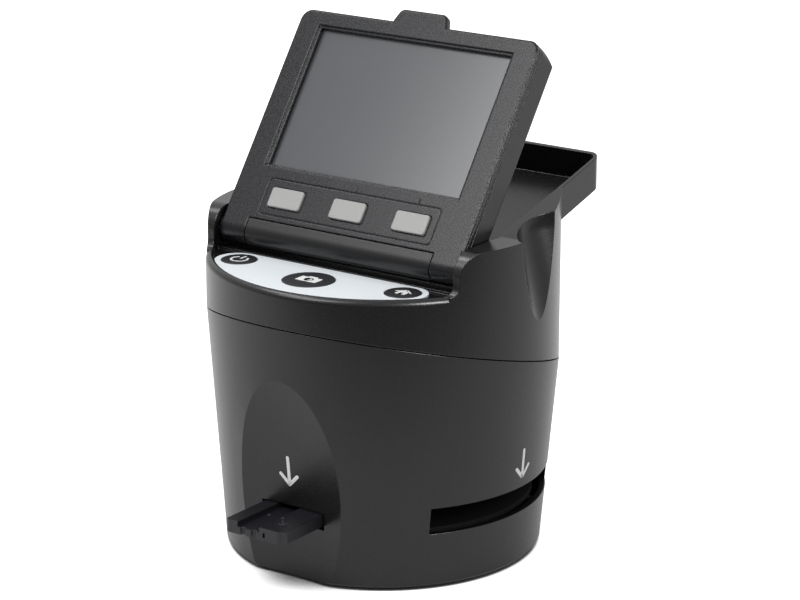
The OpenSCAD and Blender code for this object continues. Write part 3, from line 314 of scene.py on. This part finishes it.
def arrow(top, tip, wing, stroke):
    """Arrow pointing down: a shaft and two wings at 45 degrees."""
    return [bar(0, top, 0, tip + 0.4, stroke),
            bar(-wing, tip + wing + 0.4, 0, tip + 0.35, stroke),
            bar(wing, tip + wing + 0.4, 0, tip + 0.35, stroke)]


def camera_body(w, h, hump_w, hump_h, hole_r, n=24):
    """Solid camera outline as two halves, left open round its lens."""
    top = h / 2 + hump_h
    halves = []
    for side in (-1, 1):
        arc = [(side * hole_r * math.sin(math.pi * k / n), -hole_r * math.cos(math.pi * k / n))
               for k in range(n + 1)]
        rim = [(0, top), (side * hump_w / 2, top), (side * (hump_w / 2 + 0.5), h / 2),
               (side * w / 2, h / 2), (side * w / 2, -h / 2), (0, -h / 2)]
        halves.append(arc + rim)
    return halves


# ---- printed symbols -------------------------------------------------------

def add_object(name, bm):
    """An object made from a bmesh, which is freed."""
    mesh = bpy.data.meshes.new(name)
    bm.to_mesh(mesh)
    bm.free()
    obj = bpy.data.objects.new(name, mesh)
    bpy.context.scene.collection.objects.link(obj)
    return obj


def place_at(origin, normal, up):
    """Matrix in metres whose Z is the normal and Y is nearest to up; origin in millimetres."""
    z = Vector(normal).normalized()
    y = (Vector(up) - z * Vector(up).dot(z)).normalized()
    x = y.cross(z)
    m = Matrix((x, y, z)).transposed().to_4x4()
    m.translation = Vector(origin) * MM
    return m


def printed(name, shapes, place, body, target, material, height=0.06):
    """Thin raised print, height in millimetres.

    shapes are outlines in the XY plane of place, dropped along its -Z on the target node.
    """
    bm = bmesh.new()
    for pts in shapes:
        bm.faces.new([bm.verts.new((x * MM, y * MM, 0)) for x, y in pts])
    bmesh.ops.triangulate(bm, faces=bm.faces[:])
    for _ in range(SPLIT_ROUNDS):
        long = [e for e in bm.edges if e.calc_length() > PRINT_CELL * MM]
        if not long:
            break
        bmesh.ops.subdivide_edges(bm, edges=long, cuts=1)
        bmesh.ops.triangulate(bm, faces=bm.faces[:])
    bmesh.ops.remove_doubles(bm, verts=bm.verts[:], dist=0.002 * MM)
    bmesh.ops.recalc_face_normals(bm, faces=bm.faces[:])
    if sum(f.normal.z for f in bm.faces) < 0:
        bmesh.ops.reverse_faces(bm, faces=bm.faces[:])

    surface = BVHTree.FromObject(nodes[target], bpy.context.evaluated_depsgraph_get())
    inward = (place.to_3x3() @ Vector((0, 0, -1))).normalized()
    for v in bm.verts:
        start = place @ (v.co + Vector((0, 0, DROP_HEIGHT * MM)))
        hit = surface.ray_cast(start, inward)[0]
        if hit is None:
            raise RuntimeError(f"{name} misses {target}")
        v.co = hit + inward * PRINT_SINK * MM

    top = bmesh.ops.extrude_face_region(bm, geom=bm.faces[:])
    for v in (g for g in top["geom"] if isinstance(g, bmesh.types.BMVert)):
        v.co -= inward * (height + PRINT_SINK) * MM
    bmesh.ops.recalc_face_normals(bm, faces=bm.faces[:])
    obj = add_object(name, bm)
    obj.data.materials.append(material)
    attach(obj, body)


UP, BACK = (0, 0, 1), (0, 1, 0)

printed("front_arrow", arrow(5.0, -5.1, 3.4, 1.25), place_at(FRONT_ARROW, (0, -1, 0), UP),
        "housing", "lower_shell", print_white)
printed("side_arrow", arrow(5.0, -5.0, 3.5, 1.25), place_at(SIDE_ARROW, (1, 0, 0), UP),
        "housing", "lower_shell", print_white)

power_shapes = ring_sector(2.45, 3.2, 90 + 36, 90 + 324) + [bar(0, 0.9, 0, 3.6, 0.75)]
printed("power_symbol", power_shapes, place_at((-KEY_X, KEY_Y, KEY_TOP), UP, BACK),
        "power_key_body", "power_key", print_white)

camera_shapes = camera_body(8.2, 4.7, 2.9, 0.95, 1.75) + ring_sector(0.62, 1.15, 0, 360)
printed("camera_symbol", camera_shapes, place_at((0, BIG_KEY_Y, KEY_TOP), UP, BACK),
        "capture_key_body", "capture_key", print_white)

roof = [bar(-2.9, 0.2, 0, 2.6, 0.6), bar(2.9, 0.2, 0, 2.6, 0.6)]
house = [(-1.9, -2.1), (-0.6, -2.1), (-0.6, -0.4), (0.6, -0.4), (0.6, -2.1), (1.9, -2.1),
         (1.9, 0.4), (0, 1.9), (-1.9, 0.4)]
printed("home_symbol", roof + [house], place_at((KEY_X, KEY_Y, KEY_TOP), UP, BACK),
        "home_key_body", "home_key", print_white)

dots = [disc(-4.8, 6.8, 0.55), disc(0.3, 0.2, 0.45), disc(3.6, 3.4, 0.45)]
small_arrow = [bar(5.0, 1.6, 7.9, -1.9, 0.5), bar(7.9, -1.9, 5.8, -1.5, 0.5),
               bar(7.9, -1.9, 7.9, 0.2, 0.5)]
printed("insert_marks", dots + small_arrow, place_at(INSERT_MARKS, UP, BACK),
        "film_insert_body", "film_insert", mark_grey, height=0.12)


# ---- floor, light and camera -----------------------------------------------

def floor_material():
    """White ground with a glow of its own where the camera or a gloss sees it.

    Only deep shadow then shows on it; its colour also carries painted shade under and beside the
    object.
    """
    m, tree, bsdf = new_material("floor_white")
    bsdf.inputs["Roughness"].default_value = 0.9
    bsdf.inputs["Specular IOR Level"].default_value = 0.1
    bsdf.inputs["Emission Color"].default_value = (1, 1, 1, 1)

    occlusion = add_node(tree, "ShaderNodeAmbientOcclusion", Distance=0.06)
    occlusion.samples = 16
    openness = occlusion.outputs["AO"]
    forward = along(tree, object_coords(tree), (0.58, -0.81, 0.0))

    # the table ends a little way in front of the object, and its colour carries painted shade
    # under and beside the object, darker where the ambient occlusion is low
    table = scaled(tree, forward, (0.14, 0.32), (0.74, 0.16))
    # painted shade: the floor colour falls to 0.3 of its level where the object shuts out the
    # surroundings
    painted_contact_shade = scaled(tree, openness, (0.25, 0.6), (0.3, 1.0))
    tree.links.new(grey(tree, maths(tree, "MULTIPLY", table, painted_contact_shade)), bsdf.inputs["Base Color"])

    # the glow that the camera sees fades out in the deep shadow next to the object;
    # in a gloss the ground is brighter behind the object than in front of it
    glow = {
        "Is Camera Ray": scaled(tree, openness, (0.30, 0.52), (0.0, 0.95)),
        "Is Glossy Ray": scaled(tree, forward, (0.35, -0.25), (0.0, 0.45)),
        "Is Transmission Ray": 0.3,
    }
    path = tree.nodes.new("ShaderNodeLightPath")
    strength = 0.0
    for ray, level in glow.items():
        strength = maths(tree, "MULTIPLY_ADD", path.outputs[ray], level, strength)
    tree.links.new(strength, bsdf.inputs["Emission Strength"])
    return m


def make_floor():
    """Level ground under the feet, twelve metres wide."""
    bm = bmesh.new()
    bmesh.ops.create_grid(bm, x_segments=8, y_segments=8, size=6.0)
    floor = add_object("floor", bm)
    floor.location.z = cad_lo.z
    floor.data.materials.append(floor_material())


def make_world():
    """White surroundings, a little darker in front of the object for all but the camera."""
    world = bpy.data.worlds.new("studio")
    bpy.context.scene.world = world
    world.use_nodes = True
    tree = world.node_tree
    tree.nodes.clear()
    out = tree.nodes.new("ShaderNodeOutputWorld")
    direction = tree.nodes.new("ShaderNodeTexCoord").outputs["Generated"]
    lean = along(tree, direction, (0.0, 0.75, 0.66))
    lit = add_node(tree, "ShaderNodeBackground", Strength=1.0)
    tree.links.new(grey(tree, scaled(tree, lean, (-0.75, 1.0), (0.45, 0.95))),
                   lit.inputs["Color"])
    seen = add_node(tree, "ShaderNodeBackground", Color=(1, 1, 1, 1), Strength=1.0)
    path = tree.nodes.new("ShaderNodeLightPath")
    mix = tree.nodes.new("ShaderNodeMixShader")
    tree.links.new(path.outputs["Is Camera Ray"], mix.inputs[0])
    tree.links.new(lit.outputs[0], mix.inputs[1])
    tree.links.new(seen.outputs[0], mix.inputs[2])
    tree.links.new(mix.outputs[0], out.inputs[0])


def area_light(name, location, target, size, power, gloss_only=False):
    """Rectangular lamp aimed at target. Lengths in metres, power in watts."""
    data = bpy.data.lights.new(name, "AREA")
    data.shape = "RECTANGLE"
    data.size, data.size_y = size
    data.energy = power
    lamp = bpy.data.objects.new(name, data)
    lamp.visible_diffuse = not gloss_only
    bpy.context.scene.collection.objects.link(lamp)
    lamp.location = location
    lamp.rotation_mode = "QUATERNION"
    lamp.rotation_quaternion = (Vector(target) - Vector(location)).to_track_quat("-Z", "Y")


def make_camera(azimuth, elevation, roll, location, focal_length):
    """Camera turned by angles in degrees, at a place in metres."""
    azimuth, elevation, roll = (math.radians(v) for v in (azimuth, elevation, roll))
    back = Vector((math.sin(azimuth) * math.cos(elevation),
                   -math.cos(azimuth) * math.cos(elevation), math.sin(elevation)))
    level = Vector((math.cos(azimuth), math.sin(azimuth), 0))
    upright = back.cross(level)
    right = level * math.cos(roll) + upright * math.sin(roll)
    up = upright * math.cos(roll) - level * math.sin(roll)
    data = bpy.data.cameras.new("camera")
    data.lens = focal_length
    data.sensor_width = 36.0
    data.sensor_fit = "HORIZONTAL"
    data.clip_start, data.clip_end = 0.05, 50.0
    camera = bpy.data.objects.new("camera", data)
    bpy.context.scene.collection.objects.link(camera)
    m = Matrix((right, up, back)).transposed().to_4x4()
    m.translation = Vector(location)
    camera.matrix_world = m
    bpy.context.scene.camera = camera


make_floor()
make_world()
area_light("top_light", (-0.21, -0.47, 0.72), (0, 0, 0.13), (0.42, 0.42), 3.3)
# soft boxes that only show as bright lines on rounded edges
area_light("right_gloss", (1.16, -0.40, 0.80), (0, 0, 0.12), (0.5, 0.6), 20, gloss_only=True)
area_light("overhead_gloss", (-0.49, -0.10, 0.85), (0, -0.05, 0.1), (0.22, 0.22), 1.6,
           gloss_only=True)
make_camera(azimuth=35.607, elevation=16.622, roll=0.087,
            location=(0.583197, -0.804566, 0.380453), focal_length=136.75)
bpy.context.scene.view_settings.view_transform = "Standard"
